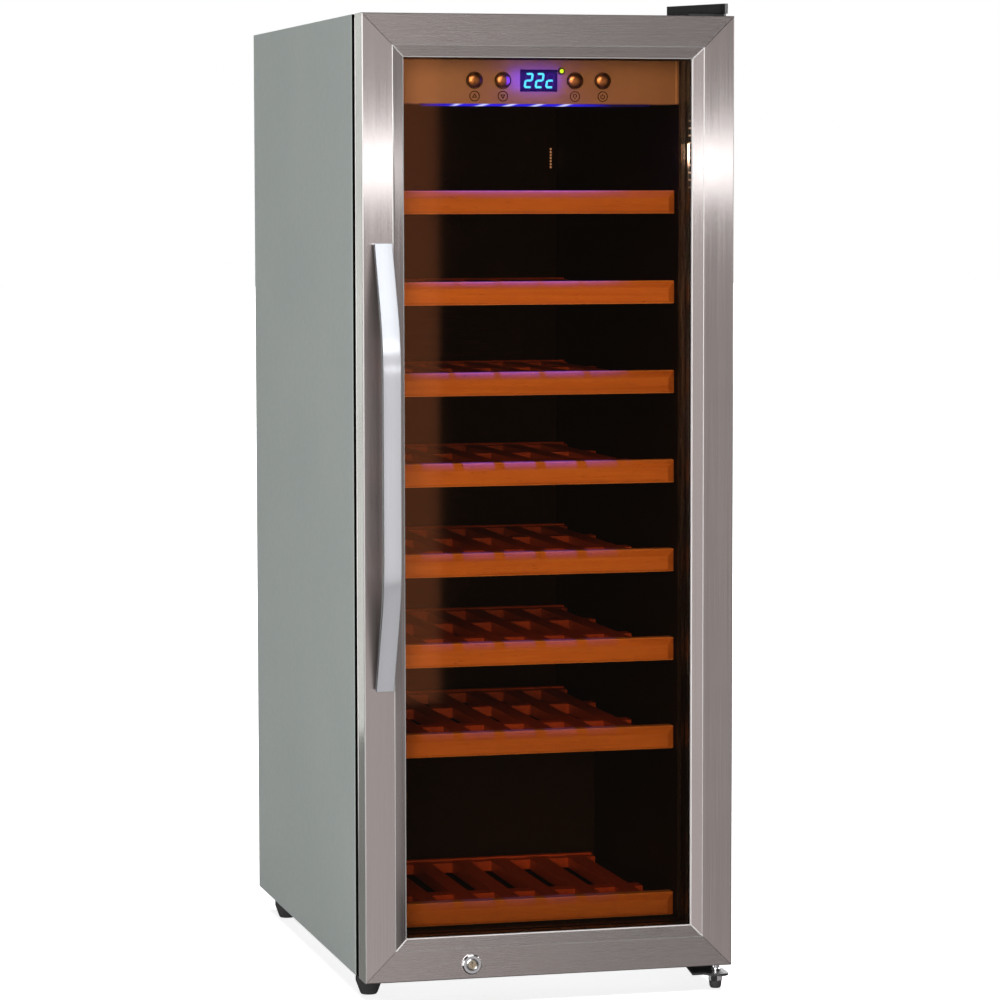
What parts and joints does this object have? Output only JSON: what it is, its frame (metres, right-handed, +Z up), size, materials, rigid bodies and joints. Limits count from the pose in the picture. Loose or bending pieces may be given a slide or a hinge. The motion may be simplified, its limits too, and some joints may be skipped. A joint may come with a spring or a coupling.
{
  "type": "wine cooler",
  "caption": "Tall free-standing wine cooler with a steel-framed tinted glass door, a bowed bar handle, slatted wooden shelves and a lit control panel.",
  "frame": {"origin": "on the floor, under the centre of the object's bounding box", "axes": "+Z up; the door faces -Y; +X is to the right seen from the front, the side of the door's hinges"},
  "size_m": [0.395, 0.6378, 1.0345],
  "materials": {
    "cabinet_paint": "satin grey powder coat on steel sheet",
    "zinc_steel": "galvanised sheet, fine spangle",
    "insulation": "rigid polyurethane foam, hidden",
    "liner_plastic": "black vacuum-formed plastic",
    "beech": "clear-varnished beech",
    "brushed_steel": "long brushed grain along each piece",
    "black_plastic": "fine moulded texture",
    "tinted_glass": "bronze-tinted clear pane",
    "spacer_aluminium": "dull drawn strip",
    "rubber": "matt black",
    "chrome": "bright plated",
    "black_metal": "semi-gloss black",
    "panel_silver": "satin silver moulding",
    "display": "dark window with lit digits",
    "led_green": "lit green lens",
    "lamp_lens": "lit blue diffuser",
    "copper": "drawn copper tube",
    "grey_plastic": "moulded tray"
  },
  "bodies": {
    "cabinet": {"outer_cabinet": "cabinet_paint", "back_panel": "zinc_steel", "base_plate": "zinc_steel", "insulation_foam": "insulation", "inner_liner": "liner_plastic", "top_hinge_bracket": "black_metal", "top_hinge_cover": "black_plastic", "bottom_hinge_bracket": "black_metal", "bottom_hinge_pin": "chrome", "bottom_hinge_nut": "chrome", "control_panel": "panel_silver", "display_module": "display", "status_led": "led_green", "lamp_lens": "lamp_lens", "compressor": "black_metal", "terminal_box": "black_plastic", "evaporation_tray": "grey_plastic", "condenser_tube": "black_metal", "suction_line": "copper", "evaporator_plate": "spacer_aluminium", "fan_cover": "liner_plastic", "fan_motor": "black_plastic", "cord_gland": "rubber"},
    "door": {"door_frame_top": "brushed_steel", "door_frame_bottom": "brushed_steel", "door_frame_left": "brushed_steel", "door_frame_right": "brushed_steel", "door_inner_frame": "black_plastic", "outer_glass": "tinted_glass", "glass_spacer": "spacer_aluminium", "inner_glass": "tinted_glass", "door_gasket": "rubber", "door_handle": "brushed_steel", "lock_barrel": "chrome"},
    "lock": {"lock_core": "chrome"},
    "fan": {"fan_rotor": "black_plastic"},
    "shelf_1": {"shelf_trim_1": "beech", "shelf_rack_1": "beech"},
    "shelf_2": {"shelf_trim_2": "beech", "shelf_rack_2": "beech"},
    "shelf_3": {"shelf_trim_3": "beech", "shelf_rack_3": "beech"},
    "shelf_4": {"shelf_trim_4": "beech", "shelf_rack_4": "beech"},
    "shelf_5": {"shelf_trim_5": "beech", "shelf_rack_5": "beech"},
    "shelf_6": {"shelf_trim_6": "beech", "shelf_rack_6": "beech"},
    "shelf_7": {"shelf_trim_7": "beech", "shelf_rack_7": "beech"},
    "shelf_8": {"shelf_trim_8": "beech", "shelf_rack_8": "beech"},
    "button_up": {"button_up": "chrome"},
    "button_down": {"button_down": "chrome"},
    "button_light": {"button_light": "chrome"},
    "button_power": {"button_power": "chrome"},
    "foot_front_left": {"foot_front_left": "rubber"},
    "foot_front_right": {"foot_front_right": "rubber"},
    "foot_rear_left": {"foot_rear_left": "rubber"},
    "foot_rear_right": {"foot_rear_right": "rubber"}
  },
  "joints": [
    {"name": "door_hinge", "type": "hinge", "parent": "cabinet", "child": "door", "pos_m": [0.1855, -0.2529, 0.5], "axis": [0, 0, 1], "range_deg": [0, 115]},
    {"name": "lock_turn", "type": "hinge", "parent": "door", "child": "lock", "pos_m": [-0.0848, -0.2719, 0.0423], "axis": [0, -1, 0], "range_deg": [0, 90]},
    {"name": "fan_spin", "type": "hinge", "parent": "cabinet", "child": "fan", "pos_m": [0, 0.2493, 0.827], "axis": [0, 1, 0], "continuous": true},
    {"name": "shelf_1_slide", "type": "slide", "parent": "cabinet", "child": "shelf_1", "axis": [0, -1, 0], "range_m": [0, 0.022]},
    {"name": "shelf_2_slide", "type": "slide", "parent": "cabinet", "child": "shelf_2", "axis": [0, -1, 0], "range_m": [0, 0.022]},
    {"name": "shelf_3_slide", "type": "slide", "parent": "cabinet", "child": "shelf_3", "axis": [0, -1, 0], "range_m": [0, 0.022]},
    {"name": "shelf_4_slide", "type": "slide", "parent": "cabinet", "child": "shelf_4", "axis": [0, -1, 0], "range_m": [0, 0.022]},
    {"name": "shelf_5_slide", "type": "slide", "parent": "cabinet", "child": "shelf_5", "axis": [0, -1, 0], "range_m": [0, 0.022]},
    {"name": "shelf_6_slide", "type": "slide", "parent": "cabinet", "child": "shelf_6", "axis": [0, -1, 0], "range_m": [0, 0.022]},
    {"name": "shelf_7_slide", "type": "slide", "parent": "cabinet", "child": "shelf_7", "axis": [0, -1, 0], "range_m": [0, 0.022]},
    {"name": "shelf_8_slide", "type": "slide", "parent": "cabinet", "child": "shelf_8", "axis": [0, -1, 0], "range_m": [0, 0.022]},
    {"name": "button_up_press", "type": "slide", "parent": "cabinet", "child": "button_up", "axis": [0, 1, 0], "range_m": [0, 0.0012], "stiffness_N_per_m": 400},
    {"name": "button_down_press", "type": "slide", "parent": "cabinet", "child": "button_down", "axis": [0, 1, 0], "range_m": [0, 0.0012], "stiffness_N_per_m": 400},
    {"name": "button_light_press", "type": "slide", "parent": "cabinet", "child": "button_light", "axis": [0, 1, 0], "range_m": [0, 0.0012], "stiffness_N_per_m": 400},
    {"name": "button_power_press", "type": "slide", "parent": "cabinet", "child": "button_power", "axis": [0, 1, 0], "range_m": [0, 0.0012], "stiffness_N_per_m": 400},
    {"name": "foot_front_left_screw", "type": "slide", "parent": "cabinet", "child": "foot_front_left", "axis": [0, 0, -1], "range_m": [0, 0.01]},
    {"name": "foot_front_right_screw", "type": "slide", "parent": "cabinet", "child": "foot_front_right", "axis": [0, 0, -1], "range_m": [0, 0.01]},
    {"name": "foot_rear_left_screw", "type": "slide", "parent": "cabinet", "child": "foot_rear_left", "axis": [0, 0, -1], "range_m": [0, 0.01]},
    {"name": "foot_rear_right_screw", "type": "slide", "parent": "cabinet", "child": "foot_rear_right", "axis": [0, 0, -1], "range_m": [0, 0.01]}
  ]
}
